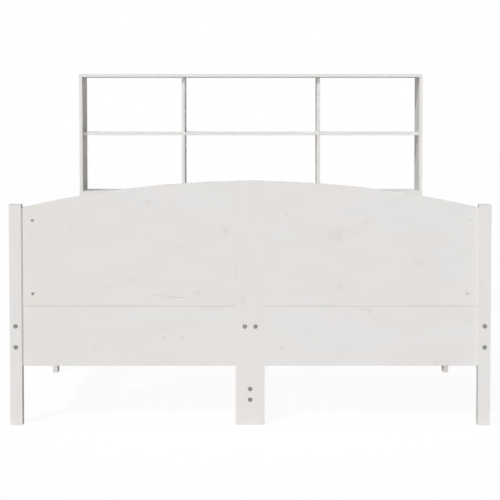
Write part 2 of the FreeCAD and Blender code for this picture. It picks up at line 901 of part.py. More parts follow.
def build():
    os.makedirs("parts", exist_ok=True)
    holes = bolt_holes() + counterbores() + nut_holes() + dowel_holes() + screw_holes()
    parts = {name: drilled(shape, holes) for name, shape in wooden_parts().items()}
    plates = [drilled(plate, holes) for plate in joining_plates()]
    parts["joining_plates"] = Part.makeCompound(plates)
    for name, solids in fasteners().items():
        parts[name] = Part.makeCompound(solids)
    for name, shape in sorted(parts.items()):
        shape.exportStep(f"parts/{name}.step")
        print(f"{name}: {len(shape.Solids)} solids, valid {shape.isValid()}")
    print(len(parts), "nodes")


build()
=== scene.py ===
# %% [markdown]
# # Dressing a bookcase headboard bed in white-painted pine
# The shapes of this bed come from a measured model: posts, panels, rails, slats, a bookcase and every bolt.
# This lesson gives them their finishes: a thin white paint through which the pine still shows, bare pine for
# the slats, beech for the dowels and zinc-plated steel for the fittings. The model could be drawn again by
# hand, but loading it keeps every board where the joints need it, so only the surfaces are made here.

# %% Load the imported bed
import math
import random

import bpy
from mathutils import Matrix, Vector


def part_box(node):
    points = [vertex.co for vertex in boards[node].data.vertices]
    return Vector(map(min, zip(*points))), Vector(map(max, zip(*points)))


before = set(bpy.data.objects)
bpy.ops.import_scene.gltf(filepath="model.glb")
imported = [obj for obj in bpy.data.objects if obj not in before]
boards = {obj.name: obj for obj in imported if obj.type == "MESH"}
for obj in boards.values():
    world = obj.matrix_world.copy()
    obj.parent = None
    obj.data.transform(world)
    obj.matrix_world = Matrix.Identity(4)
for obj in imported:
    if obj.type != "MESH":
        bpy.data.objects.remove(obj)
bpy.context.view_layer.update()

# %% [markdown]
# ## The camera
# The photograph was taken from the foot of the bed, about five metres away, with a long lens at about the
# height of the upper shelves. Its upright edges stay upright, as they do when the camera is level and the
# picture is slid down. All of that could be done with the lens shift. Here part of it is done by tilting
# the camera a little, because the shift also stays in every other view and would push the bed out.

# %% Camera
IMAGE_SIDE = 500
SENSOR_MM = 36.0
FOCAL_PIXELS = 1476.8
TILT = math.radians(2.674)
PLACE = (0.0087, -6.1921, 1.1005)
SLID_SIDEWAYS, SLID_DOWN = -0.0053, -0.15

camera_data = bpy.data.cameras.new("Camera at the foot of the bed")
camera_data.sensor_width = SENSOR_MM
camera_data.lens = FOCAL_PIXELS / IMAGE_SIDE * SENSOR_MM
camera_data.shift_x = SLID_SIDEWAYS
camera_data.shift_y = SLID_DOWN
camera = bpy.data.objects.new("Camera at the foot of the bed", camera_data)
camera.location = PLACE
camera.rotation_euler = (math.pi / 2 - TILT, 0, 0)
bpy.context.scene.collection.objects.link(camera)
bpy.context.scene.camera = camera
bpy.context.scene.view_settings.view_transform = "Standard"
print("lens, mm:", round(camera_data.lens, 2))

# %% [markdown]
# ## Small helpers for nodes
# A material is a net of small steps. Placing each step by hand in code takes many lines, so one helper
# places a step, sets its options, and either fills or wires each of its inputs.


# %% Node helpers
def place(tree, kind, feeds=None, **options):
    """Adds one shader node. A feed that is another node's output is wired, any other value is filled in."""
    step = tree.nodes.new("ShaderNode" + kind)
    for option, value in options.items():
        setattr(step, option, value)
    for socket, feed in (feeds or {}).items():
        if isinstance(feed, bpy.types.NodeSocket):
            tree.links.new(feed, step.inputs[socket])
        else:
            step.inputs[socket].default_value = feed
    return step


def calc(tree, operation, *feeds, clamp=False):
    """One step of arithmetic on numbers."""
    return place(tree, "Math", dict(enumerate(feeds)), operation=operation, use_clamp=clamp).outputs[0]


def vector_calc(tree, operation, *feeds, result="Vector"):
    """One step of arithmetic on vectors. Its result is a vector, or a number where result is "Value"."""
    return place(tree, "VectorMath", dict(enumerate(feeds)), operation=operation).outputs[result]


def fade(tree, value, start, end, low=0.0, high=1.0):
    """Turns a value into low at start and high at end, with a smooth change between."""
    feeds = {"Value": value, "From Min": start, "From Max": end, "To Min": low, "To Max": high}
    return place(tree, "MapRange", feeds, interpolation_type="SMOOTHSTEP").outputs["Result"]


def noise(tree, vector, scale, detail=2.0, roughness=0.5):
    """A noise around 0.5. Detail adds finer layers to it, and roughness says how strong they are."""
    feeds = {"Vector": vector, "Scale": scale, "Detail": detail, "Roughness": roughness}
    return place(tree, "TexNoise", feeds).outputs["Fac"]


def tinted(tree, factor, first, second, blend="MIX"):
    """Mixes two colours by a factor between 0 and 1."""
    step = place(tree, "Mix", {0: factor, 6: first, 7: second}, data_type="RGBA", blend_type=blend)
    return step.outputs[2]


def split(tree, vector):
    """The three parts of a vector."""
    return place(tree, "SeparateXYZ", {0: vector}).outputs


def joined(tree, x, y, z):
    """Three numbers as one vector."""
    return place(tree, "CombineXYZ", {0: x, 1: y, 2: z}).outputs[0]


def linear(*levels):
    """A colour read as 0 to 255 levels on a screen, as the linear colour that a shader takes."""
    colour = []
    for level in levels:
        share = level / 255
        colour.append(share / 12.92 if share <= 0.04045 else ((share + 0.055) / 1.055) ** 2.4)
    return (*colour, 1.0)


NUMBER, VECTOR, COLOUR = "NodeSocketFloat", "NodeSocketVector", "NodeSocketColor"


def new_group(title, takes, gives):
    """A node group with named inputs and outputs. Each input has a kind and a starting value."""
    tree = bpy.data.node_groups.new(title, "ShaderNodeTree")
    for name, (kind, start) in takes.items():
        tree.interface.new_socket(name, in_out="INPUT", socket_type=kind).default_value = start
    for name, kind in gives.items():
        tree.interface.new_socket(name, in_out="OUTPUT", socket_type=kind)
    return tree, tree.nodes.new("NodeGroupInput").outputs, tree.nodes.new("NodeGroupOutput")


def give(tree, out, **results):
    """Wires what a group has worked out to its named outputs. An underscore stands for a space."""
    for name, socket in results.items():
        tree.links.new(socket, out.inputs[name.replace("_", " ")])


def use(tree, group, **feeds):
    """Places a group in a material, and feeds its named inputs."""
    named = {name.replace("_", " "): feed for name, feed in feeds.items()}
    return place(tree, "Group", named, node_tree=group).outputs


print("white at level 225:", [round(value, 3) for value in linear(225, 225, 225)])

# %% [markdown]
# ## Which way the wood lies
# Grain runs along a board, whatever way the board stands in the bed. A grain pattern could be turned by a
# texture map for each board. Measuring the place of a point along, across and through the board does the
# same with no map, and it keeps the real size of the pattern. Each board also starts at its own place in
# the tree, so no two boards look alike.

# %% Group: place in the board
board_place, taken, given = new_group(
    "Place in the board",
    {
        "Position": (VECTOR, (0, 0, 0)),
        "Along": (VECTOR, (1, 0, 0)),
        "Across": (VECTOR, (0, 0, 1)),
        "Through": (VECTOR, (0, 1, 0)),
    },
    {"Place": VECTOR},
)
distances = [
    vector_calc(board_place, "DOT_PRODUCT", taken["Position"], taken[way], result="Value")
    for way in ("Along", "Across", "Through")
]
give(board_place, given, Place=joined(board_place, *distances))
print("place in the board:", len(board_place.nodes), "steps")

# %% [markdown]
# ## Knots
# A knot is the root of a branch: a round, darker core with a thin, broken bark line round it, and resin that
# stains the wood beside it. The largest ones have a pale heart. The grain flows past a knot like water past
# a stone. It could be painted on as a plain dark spot, but then the lines would run straight through it.
# This group pushes the lines aside, less and less with the distance, and puts out the core and the stain.

# %% Group: knot
knot_group, taken, given = new_group(
    "Knot in the wood",
    {
        "Place": (VECTOR, (0, 0, 0)),
        "Centre": (VECTOR, (0, 0, 0)),
        "Radius": (NUMBER, 0.01),
        "Strength": (NUMBER, 0.5),
        "Resin": (NUMBER, 0.5),
        "Hollow": (NUMBER, 0.0),
    },
    {"Place": VECTOR, "Core": NUMBER, "Stain": NUMBER},
)
tree = knot_group
OVAL = (0.75, 1.0, 0.0)
HALO_OVAL = (0.5, 0.9, 0.0)
GRAIN_PUSH = -0.9
RAGGEDNESS = 1.1
offset = vector_calc(tree, "SUBTRACT", taken["Place"], taken["Centre"])
flat = vector_calc(tree, "MULTIPLY", offset, OVAL)
# The shares, and every distance worked out from them, count in radii of the knot.
shares = vector_calc(tree, "DIVIDE", flat, joined(tree, taken["Radius"], taken["Radius"], 1.0))
distance = vector_calc(tree, "LENGTH", shares, result="Value")
ragged = calc(tree, "MULTIPLY_ADD", noise(tree, shares, 1.1, 4.0, 0.6), RAGGEDNESS, -RAGGEDNESS / 2)
distance = calc(tree, "ADD", distance, ragged)
body = fade(tree, distance, 1.25, 0.35)
heart = fade(tree, distance, 0.5, 0.1)
bark = calc(tree, "MULTIPLY", fade(tree, distance, 0.6, 0.95), fade(tree, distance, 1.25, 1.0))
broken = fade(tree, noise(tree, shares, 0.9, 2.0), 0.45, 0.62)
bark = calc(tree, "MULTIPLY", bark, broken)
solid = calc(tree, "SUBTRACT", 1.0, taken["Hollow"])
core = calc(tree, "MULTIPLY", calc(tree, "MULTIPLY_ADD", heart, solid, body), 0.5)
bark_showing = calc(tree, "MULTIPLY_ADD", taken["Hollow"], 0.4, 0.4)
core = calc(tree, "MULTIPLY_ADD", bark, bark_showing, core)
halo = vector_calc(tree, "MULTIPLY", shares, HALO_OVAL)
around = calc(tree, "MAXIMUM", vector_calc(tree, "DOT_PRODUCT", halo, halo, result="Value"), 1.0)
push = calc(tree, "DIVIDE", GRAIN_PUSH, around)
_, across, _ = split(tree, offset)
bent = joined(tree, 0.0, calc(tree, "MULTIPLY", across, push), 0.0)
stain = fade(tree, vector_calc(tree, "LENGTH", halo, result="Value"), 1.9, 0.4)
give(
    tree,
    given,
    Place=vector_calc(tree, "ADD", taken["Place"], bent),
    Core=calc(tree, "MULTIPLY", core, taken["Strength"]),
    Stain=calc(tree, "MULTIPLY", stain, taken["Resin"]),
)
print("knot:", len(tree.nodes), "steps")

# %% [markdown]
# ## Resin streaks
# Here and there a thin dark line lies in the grain, pointed at both ends, where resin filled a crack while
# the tree grew. Each could be a stroke on a picture, but a formula stays sharp from near: a lens shape a few
# centimetres long and a millimetre or two wide, which may lie a little askew.

# %% Group: resin streak
streak_group, taken, given = new_group(
    "Resin streak",
    {
        "Place": (VECTOR, (0, 0, 0)),
        "Centre": (VECTOR, (0, 0, 0)),
        "Half length": (NUMBER, 0.03),
        "Half width": (NUMBER, 0.0012),
        "Slope": (NUMBER, 0.0),
        "Strength": (NUMBER, 0.5),
    },
    {"Streak": NUMBER},
)
tree = streak_group
THINNEST = 1e-5
along, across, _ = split(tree, vector_calc(tree, "SUBTRACT", taken["Place"], taken["Centre"]))
across = calc(tree, "SUBTRACT", across, calc(tree, "MULTIPLY", along, taken["Slope"]))
share = calc(tree, "DIVIDE", along, taken["Half length"])
taper = calc(tree, "SUBTRACT", 1.0, calc(tree, "MULTIPLY", share, share), clamp=True)
width = calc(tree, "MULTIPLY", taper, taken["Half width"])
width = calc(tree, "MAXIMUM", width, THINNEST)
# The share is 0 in the middle of the line and 1 at its side.
side_share = calc(tree, "DIVIDE", calc(tree, "ABSOLUTE", across), width)
line = calc(tree, "MULTIPLY", fade(tree, side_share, 1.3, 0.4), fade(tree, taper, 0.0, 0.1))
give(tree, given, Streak=calc(tree, "MULTIPLY", line, taken["Strength"]))
print("resin streak:", len(tree.nodes), "steps")

# %% [markdown]
# ## Clouds of tone
# Over a hand's breadth or more the white of a board drifts: warmer where resin lies under the paint, cooler
# where it is thick. A noise alone gives such clouds anywhere. To have them where they are on the footboard,
# each is an ellipse with a soft border, and the noise only frays it.

# %% Group: cloud of tone
cloud_group, taken, given = new_group(
    "Cloud of tone",
    {
        "Place": (VECTOR, (0, 0, 0)),
        "Centre": (VECTOR, (0, 0, 0)),
        "Half size": (VECTOR, (0.1, 0.1, 1.0)),
        "Strength": (NUMBER, 0.5),
    },
    {"Cloud": NUMBER},
)
tree = cloud_group
FLATTENED = (1.0, 1.0, 0.0)
FRAYING_STRETCH = (3.0, 22.0, 0.0)
FRAYING = 1.6
offset = vector_calc(tree, "SUBTRACT", taken["Place"], taken["Centre"])
shares = vector_calc(tree, "DIVIDE", offset, taken["Half size"])
shares = vector_calc(tree, "MULTIPLY", shares, FLATTENED)
ragged = noise(tree, vector_calc(tree, "MULTIPLY", taken["Place"], FRAYING_STRETCH), 1.0, 2.0)
distance = vector_calc(tree, "LENGTH", shares, result="Value")
distance = calc(tree, "MULTIPLY_ADD", calc(tree, "SUBTRACT", ragged, 0.5), FRAYING, distance)
give(tree, given, Cloud=calc(tree, "MULTIPLY", fade(tree, distance, 1.25, 0.6), taken["Strength"]))
print("cloud of tone:", len(tree.nodes), "steps")

# %% [markdown]
# ## Grain
# Wide pine boards are glued up from strips, and each strip is cut from another part of a log. Where the cut
# passes near the middle of the log the year rings open into long arches, and elsewhere they run as lines.
# A stripe texture could stand for this, but measuring the distance from the middle of the log gives lines
# and arches by itself. A ring is pale where the tree grew in spring and ends in a thin darker line. Fine
# fibres and slow clouds of tone come on top.

# %% Group: grain
grain_group, taken, given = new_group(
    "Grain of glued pine strips",
    {
        "Place": (VECTOR, (0, 0, 0)),
        "Start": (VECTOR, (0, 0, 0)),
        "Strip width": (NUMBER, 0.09),
        "Ring width": (NUMBER, 0.004),
        "Wander": (NUMBER, 0.014),
    },
    {"Late wood": NUMBER, "Fibre": NUMBER, "Cloud": NUMBER, "Strip": NUMBER},
)
tree = grain_group
# How much each noise varies along, across and through the wood, per metre.
BENDING = (0.8, 5.0, 5.0)
FIBRES = (14.0, 900.0, 900.0)
FIBRE_BUNDLES = (3.0, 130.0, 130.0)
CLOUDS = (1.7, 13.0, 13.0)
# Where in its log a strip was cut, in metres along, across and through it: the range, and where it starts.
CHANCE_RANGE, CHANCE_START = (6.0, 0.07, 0.05), (0.0, -0.035, 0.02)
# A log narrows upward, so its rings drift along a board.
LOG_TAPER = 0.011
RING_WANDER = 0.6
RING_SHARPNESS = 2.6
started = vector_calc(tree, "ADD", taken["Place"], taken["Start"])
along, across, through = split(tree, started)
strip = calc(tree, "FLOOR", calc(tree, "DIVIDE", across, taken["Strip width"]))
chance = place(tree, "TexWhiteNoise", {"W": strip}, noise_dimensions="1D").outputs
shifts = vector_calc(tree, "MULTIPLY_ADD", chance["Color"], CHANCE_RANGE, CHANCE_START)
shift_along, shift_across, shift_through = split(tree, shifts)
in_strip = calc(tree, "SUBTRACT", across, calc(tree, "MULTIPLY", strip, taken["Strip width"]))
from_middle = calc(tree, "SUBTRACT", in_strip, calc(tree, "MULTIPLY", taken["Strip width"], 0.5))
along = calc(tree, "ADD", along, shift_along)
wood = joined(tree, along, calc(tree, "ADD", across, shift_across), through)
bending = noise(tree, vector_calc(tree, "MULTIPLY", wood, BENDING), 1.0, 3.0, 0.45)
wander = calc(tree, "MULTIPLY", calc(tree, "SUBTRACT", bending, 0.5), taken["Wander"])
side_way = calc(tree, "ADD", calc(tree, "ADD", from_middle, shift_across), wander)
depth = calc(tree, "ADD", through, shift_through)
squares = calc(tree, "ADD", calc(tree, "POWER", side_way, 2.0), calc(tree, "POWER", depth, 2.0))
log_radius = calc(tree, "SQRT", squares)
log_radius = calc(tree, "MULTIPLY_ADD", along, LOG_TAPER, log_radius)
log_radius = calc(tree, "MULTIPLY_ADD", wander, RING_WANDER, log_radius)
ring = calc(tree, "FRACT", calc(tree, "DIVIDE", log_radius, taken["Ring width"]))
late = calc(tree, "MULTIPLY", calc(tree, "POWER", ring, RING_SHARPNESS), fade(tree, ring, 1.0, 0.9))
fibres = noise(tree, vector_calc(tree, "MULTIPLY", wood, FIBRES), 1.0, 3.0, 0.6)
bundles = noise(tree, vector_calc(tree, "MULTIPLY", wood, FIBRE_BUNDLES), 1.0, 3.0, 0.6)
late = calc(tree, "MULTIPLY", late, fade(tree, bundles, 0.25, 0.75, 0.55, 1.0))
both_fibres = calc(tree, "ADD", calc(tree, "MULTIPLY", fibres, 0.5), calc(tree, "MULTIPLY", bundles, 0.5))
cloud = noise(tree, vector_calc(tree, "MULTIPLY", wood, CLOUDS), 1.0, 2.0, 0.5)
give(tree, given, Late_wood=late, Fibre=both_fibres, Cloud=cloud, Strip=chance["Value"])
print("grain:", len(tree.nodes), "steps")

# %% [markdown]
# ## Edges
# Paint runs thin on a sharp edge and hands rub it first, so a little more wood shows there. The edge could
# be marked by hand on each board. Comparing the true surface with a slightly rounded one finds every edge
# by itself, and a noise breaks the line up.

# %% Group: edge
edge_group, taken, given = new_group(
    "Rubbed edge",
    {"Position": (VECTOR, (0, 0, 0)), "Reach": (NUMBER, 0.0015), "Patchiness": (NUMBER, 60.0)},
    {"Edge": NUMBER},
)
tree = edge_group
rounded = place(tree, "Bevel", {"Radius": taken["Reach"]}, samples=4).outputs[0]
true_side = place(tree, "NewGeometry").outputs["Normal"]
agreement = vector_calc(tree, "DOT_PRODUCT", rounded, true_side, result="Value")
patches = noise(tree, taken["Position"], taken["Patchiness"], 3.0, 0.6)
edge = calc(tree, "MULTIPLY", fade(tree, agreement, 0.995, 0.86), fade(tree, patches, 0.3, 0.65, 0.25, 1.0))
give(tree, given, Edge=edge)
print("rubbed edge:", len(tree.nodes), "steps")

# %% [markdown]
# ## The white paint
# The bed has one thin coat of matt white paint. It hides the pine almost, not quite: late wood, knots and
# resin show through a little, and the white leans to pink, cream or cool grey from strip to strip. The
# bookcase looks as if it had a second coat, which covers better. A plain white would look like plastic.
# The group mixes these leanings and also puts out how rough the coat is and how high it stands, because
# the paint sinks a little between the harder late wood.

# %% Group: white paint on pine
paint_group, taken, given = new_group(
    "Thin white paint on pine",
    {
        "Place": (VECTOR, (0, 0, 0)),
        "Late wood": (NUMBER, 0.0),
        "Fibre": (NUMBER, 0.5),
        "Cloud": (NUMBER, 0.5),
        "Strip": (NUMBER, 0.5),
        "Core": (NUMBER, 0.0),
        "Stain": (NUMBER, 0.0),
        "Streak": (NUMBER, 0.0),
        "Edge": (NUMBER, 0.0),
        "Leaning": (NUMBER, 0.5),
        "Cream": (NUMBER, 0.0),
        "Cover": (NUMBER, 0.0),
    },
    {"Colour": COLOUR, "Roughness": NUMBER, "Height": NUMBER},
)
tree = paint_group
PINKISH = linear(228, 223.7, 222.4)
COOL = linear(226.6, 225.4, 223.6)
CREAM = linear(227, 222.6, 217.5)
SECOND_COAT = linear(231.5, 231.3, 230.8)
KNOT_SHOWING = linear(186, 175, 171)
RESIN_SHOWING = linear(150, 139, 130)
WOOD_SHOWING = linear(214, 200, 182)
CLOUD_LEANS, STRIP_LEANS = 1.8, 0.3
LATE_WOOD_SHADE, FIBRE_SHADE = -0.022, -0.05
EDGE_SHOWS = 0.12
BRUSH_STROKES = (30.0, 600.0, 600.0)
SMOOTHEST, ROUGHEST = 0.84, 0.94
lean = calc(tree, "MULTIPLY_ADD", calc(tree, "SUBTRACT", taken["Cloud"], 0.5), CLOUD_LEANS, taken["Leaning"])
lean = calc(tree, "MULTIPLY_ADD", calc(tree, "SUBTRACT", taken["Strip"], 0.5), STRIP_LEANS, lean)
colour = tinted(tree, fade(tree, lean, 0.2, 0.8), PINKISH, COOL)
cream = calc(tree, "ADD", taken["Cream"], taken["Stain"], clamp=True)
colour = tinted(tree, cream, colour, CREAM)
colour = tinted(tree, taken["Cover"], colour, SECOND_COAT)
shade = calc(tree, "MULTIPLY", taken["Late wood"], LATE_WOOD_SHADE)
shade = calc(tree, "MULTIPLY_ADD", calc(tree, "SUBTRACT", taken["Fibre"], 0.5), FIBRE_SHADE, shade)
shade = calc(tree, "ADD", shade, 1.0)
colour = tinted(tree, 1.0, colour, joined(tree, shade, shade, shade), blend="MULTIPLY")
colour = tinted(tree, taken["Core"], colour, KNOT_SHOWING)
colour = tinted(tree, taken["Streak"], colour, RESIN_SHOWING)
bare_edge = calc(tree, "MULTIPLY", taken["Edge"], calc(tree, "SUBTRACT", 1.0, taken["Cover"]))
colour = tinted(tree, calc(tree, "MULTIPLY", bare_edge, EDGE_SHOWS), colour, WOOD_SHOWING)
smudges = noise(tree, taken["Place"], 9.0, 3.0, 0.6)
brush = noise(tree, vector_calc(tree, "MULTIPLY", taken["Place"], BRUSH_STROKES), 1.0, 2.0)
rough = fade(tree, smudges, 0.3, 0.7, SMOOTHEST, ROUGHEST)
rough = calc(tree, "MULTIPLY_ADD", taken["Late wood"], -0.05, rough)
rough = calc(tree, "MULTIPLY_ADD", taken["Edge"], 0.08, rough)
height = calc(tree, "MULTIPLY", taken["Fibre"], 0.5)
for mask, rise in ((taken["Late wood"], 0.5), (brush, 0.35), (taken["Core"], 0.8), (taken["Streak"], -1.2)):
    height = calc(tree, "MULTIPLY_ADD", mask, rise, height)
give(tree, given, Colour=colour, Roughness=rough, Height=height)
print("white paint:", len(tree.nodes), "steps")

# %% [markdown]
# ## How each board lies in the bed
# Every wooden piece is listed with the way its grain runs. Posts, planks, legs and uprights have it
# standing, rails and beams have it along the bed, and panels, shelves and slats have it across the bed.
# The longest side of a piece would often tell it too, but not for a whole set of slats.

# %% Directions of the grain
ACROSS_BED, ALONG_BED, UPWARD = (1, 0, 0), (0, 1, 0), (0, 0, 1)
STANDING_FACING_FOOT = (UPWARD, ACROSS_BED, ALONG_BED)
STANDING_FACING_SIDE = (UPWARD, ALONG_BED, ACROSS_BED)
RUNNING_ON_EDGE = (ALONG_BED, UPWARD, ACROSS_BED)
RUNNING_FLAT = (ALONG_BED, ACROSS_BED, UPWARD)
LEVEL_ON_EDGE = (ACROSS_BED, UPWARD, ALONG_BED)
LEVEL_FLAT = (ACROSS_BED, ALONG_BED, UPWARD)

GRAIN_OF = {
    STANDING_FACING_FOOT: ["foot_post_", "head_post_", "foot_centre_plank", "head_centre_plank"],
    STANDING_FACING_SIDE: [
        "mid_leg_", "centre_mid_leg", "centre_upright_", "bookcase_side_",
        "bookcase_upper_divider_", "bookcase_lower_divider_", "bookcase_base_partition_",
    ],
    RUNNING_ON_EDGE: ["side_rail_", "slat_ledge_", "centre_low_rail_"],
    RUNNING_FLAT: ["centre_beam_"],
    LEVEL_ON_EDGE: ["foot_upper_panel_", "foot_lower_board_", "head_lower_board_", "bookcase_front_"],
    LEVEL_FLAT: ["bookcase_top", "bookcase_middle_shelf", "bookcase_bottom_shelf", "slats_"],
}


def grain_of(name):
    """The three directions of a board, found by the start of its name."""
    for directions, starts in GRAIN_OF.items():
        if any(name.startswith(start) for start in starts):
            return directions
    return None


print("boards with a grain:", sum(1 for name in boards if grain_of(name)))

# %% [markdown]
# ## Knots of the footboard
# The footboard is what one sees first, so its knots lie where they lie on the real one. Chance alone would
# give a board of the same kind, but not this board.

# %% Knots seen on the footboard, in millimetres
# Each knot: place across the bed and above the floor, radius, how strongly it shows, and its resin.
KNOTS = {
    "foot_upper_panel_left": [
        (-352, 769, 15, 0.2, 0.0), (-83, 670, 6, 0.38, 0.5), (-90, 676, 14, 0.12, 0.3),
        (-614, 677, 9, 0.14, 0.0), (-407, 505, 15, 0.12, 0.5), (-180, 460, 14, 0.15, 0.3),
        (-262, 602, 8, 0.09, 0.0),
    ],
    "foot_lower_board_left": [
        (-297, 305, 8, 0.3, 0.3), (-235, 302, 8, 0.34, 0.0), (-308, 330, 9, 0.16, 0.4),
        (-535, 267, 10, 0.1, 0.0),
    ],
    "foot_centre_plank": [(-26, 433, 13, 0.17, 0.3)],
    "foot_upper_panel_right": [
        (124, 729, 5, 0.46, 0.0), (169, 764, 10, 0.1, 0.0), (400, 704, 12, 0.15, 0.0),
        (293, 660, 19, 0.2, 0.6), (576, 570, 16, 0.15, 0.0), (308, 484, 7, 0.22, 0.0),
        (217, 495, 10, 0.08, 0.0),
    ],
    "foot_lower_board_right": [
        (413, 395, 7, 0.2, 0.0), (110, 267, 9, 0.26, 0.0), (707, 246, 8, 0.14, 0.0), (641, 219, 9, 0.16, 0.0),
    ],
    "foot_post_left": [(-801, 88, 6, 0.24, 0.4)],
    "foot_post_right": [],
}
# A knot with a larger radius than this has a pale heart.
HOLLOW_FROM_RADIUS = 15.5
print("knots placed by eye:", sum(len(found) for found in KNOTS.values()))

# %% [markdown]
# ## Streaks and tones of the footboard
# The streaks and the slow drift of the white are placed one by one too, because they are what makes the
# left half look warm and the right half cool. The bookcase is an even, brighter white all over.

# %% Streaks and tones seen on the footboard, in millimetres
# Each streak: middle across the bed and above the floor, half length, half width, strength, slope.
STREAKS = {
    "foot_upper_panel_left": [
        (-307, 457, 34, 1.6, 0.15, 0.0), (-262, 450, 42, 1.9, 0.28, 0.0), (-250, 457, 40, 1.3, 0.1, -0.05),
        (-501, 486, 28, 1.3, 0.12, -0.04), (-496, 479, 30, 1.3, 0.1, 0.0), (-240, 613, 24, 1.3, 0.1, 0.08),
    ],
    "foot_lower_board_left": [(-470, 321, 170, 1.3, 0.1, 0.0), (-336, 332, 24, 1.8, 0.1, 0.4)],
    "foot_upper_panel_right": [
        (362, 664, 50, 1.5, 0.08, 0.1), (372, 672, 36, 1.5, 0.08, 0.12), (640, 515, 90, 1.5, 0.07, 0.0),
        (380, 712, 36, 1.8, 0.08, 0.3), (190, 622, 90, 1.5, 0.05, 0.0), (250, 612, 120, 1.4, 0.04, 0.0),
        (420, 578, 150, 1.4, 0.04, 0.02),
    ],
    "foot_lower_board_right": [
        (753, 373, 27, 2.2, 0.13, 0.32), (753, 356, 27, 2.2, 0.13, -0.36), (392, 398, 28, 2.2, 0.1, -0.18),
        (330, 276, 110, 1.6, 0.06, 0.0), (520, 230, 140, 1.4, 0.06, 0.0),
    ],
    "foot_centre_plank": [(-46, 540, 42, 1.6, 0.16, 0.03)],
}
# How far each board's white leans from pink (0) to cool (1), and how cream it is.
LEANINGS = {
    "foot_upper_panel_left": (0.24, 0.04), "foot_lower_board_left": (0.28, 0.04),
    "foot_upper_panel_right": (0.42, 0.02), "foot_lower_board_right": (0.80, 0.0),
    "foot_centre_plank": (0.10, 0.04), "foot_post_left": (0.35, 0.03), "foot_post_right": (0.6, 0.03),
}
# Each cloud: middle across the bed and above the floor, half width, half height, strength.
# A positive strength in COOL_CLOUDS turns the white cool, a negative one turns it pink.
CREAM_CLOUDS = {
    "foot_upper_panel_left": [
        (-745, 560, 95, 210, 0.55), (-650, 450, 170, 80, 0.35), (-330, 640, 180, 26, 0.22),
    ],
    "foot_lower_board_left": [(-710, 300, 140, 100, 0.55), (-300, 330, 150, 40, 0.28)],
    "foot_upper_panel_right": [(470, 434, 220, 22, 0.5), (135, 628, 70, 20, 0.4), (300, 798, 70, 16, 0.3)],
    "foot_lower_board_right": [(75, 300, 30, 30, 0.3)],
    "foot_post_right": [(791, 500, 8, 260, 0.5)],
    "foot_centre_plank": [(15, 745, 20, 70, 0.35)],
}
COOL_CLOUDS = {
    "foot_upper_panel_left": [(-250, 785, 260, 62, 0.7), (-300, 480, 280, 60, -0.4)],
    "foot_lower_board_left": [(-340, 380, 260, 20, 0.8), (-300, 245, 300, 34, -0.9)],
    "foot_upper_panel_right": [
        (230, 560, 200, 60, -0.35), (610, 735, 230, 75, 0.6), (705, 570, 90, 110, 0.6),
        (330, 722, 150, 22, 0.5), (600, 640, 90, 26, -0.8), (580, 560, 60, 45, -0.9),
        (450, 470, 400, 30, -0.5),
    ],
    "foot_lower_board_right": [
        (600, 378, 190, 34, -1.0), (118, 268, 42, 44, -0.9), (620, 240, 160, 40, -0.8),
    ],
    "foot_post_left": [(-824, 400, 7, 400, 0.7)],
}
print("streaks placed by eye:", sum(len(found) for found in STREAKS.values()))

# %% [markdown]
# ## Knots of every board
# A knot seen on the footboard has to be found again in its board, where distances run along and across the
# grain. The other boards could stay without knots, but pine without them looks like plastic. They get a few
# by seeded chance, the same every time, and longer boards get more.

# %% Knots of one board
MM = 0.001
KNOTS_PER_METRE = 2.2
MOST_KNOTS = 5
KNOT_RADII = (0.004, 0.011)
KNOT_STRENGTHS = (0.14, 0.34)
KNOT_RESINS = (0.0, 0.2, 0.5)


def measured_in_board(point, directions):
    """How far a point lies along, across and through a board."""
    return tuple(sum(p * d for p, d in zip(point, direction)) for direction in directions)


def knots_of(name, directions, dice):
    """Knots of one board: place in the board, radius, strength, resin, and whether the heart is pale."""
    if name in KNOTS:
        found = []
        for x, z, radius, strength, resin in KNOTS[name]:
            along, across, _ = measured_in_board((x * MM, 0, z * MM), directions)
            hollow = 1.0 if radius > HOLLOW_FROM_RADIUS else 0.0
            found.append(((along, across, 0), radius * MM, strength, resin, hollow))
        return found
    low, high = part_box(name)
    low, high = measured_in_board(low, directions), measured_in_board(high, directions)
    number = min(MOST_KNOTS, max(1, round((high[0] - low[0]) * KNOTS_PER_METRE)))
    return [
        (
            (dice.uniform(low[0], high[0]), dice.uniform(low[1], high[1]), 0),
            dice.uniform(*KNOT_RADII),
            dice.uniform(*KNOT_STRENGTHS),
            dice.choice(KNOT_RESINS),
            0.0,
        )
        for _ in range(number)
    ]


print("largest knot, mm:", max(radius for found in KNOTS.values() for _, _, radius, _, _ in found))

# %% [markdown]
# ## Painted boards and bare boards
# The same pine lies under the paint and in the slats. It could be wired twice, but then a change to one
# would miss the other. One function feeds the groups for one board: where the point lies in it, its knots
# one after the other, its streaks and its grain. The finish comes after.

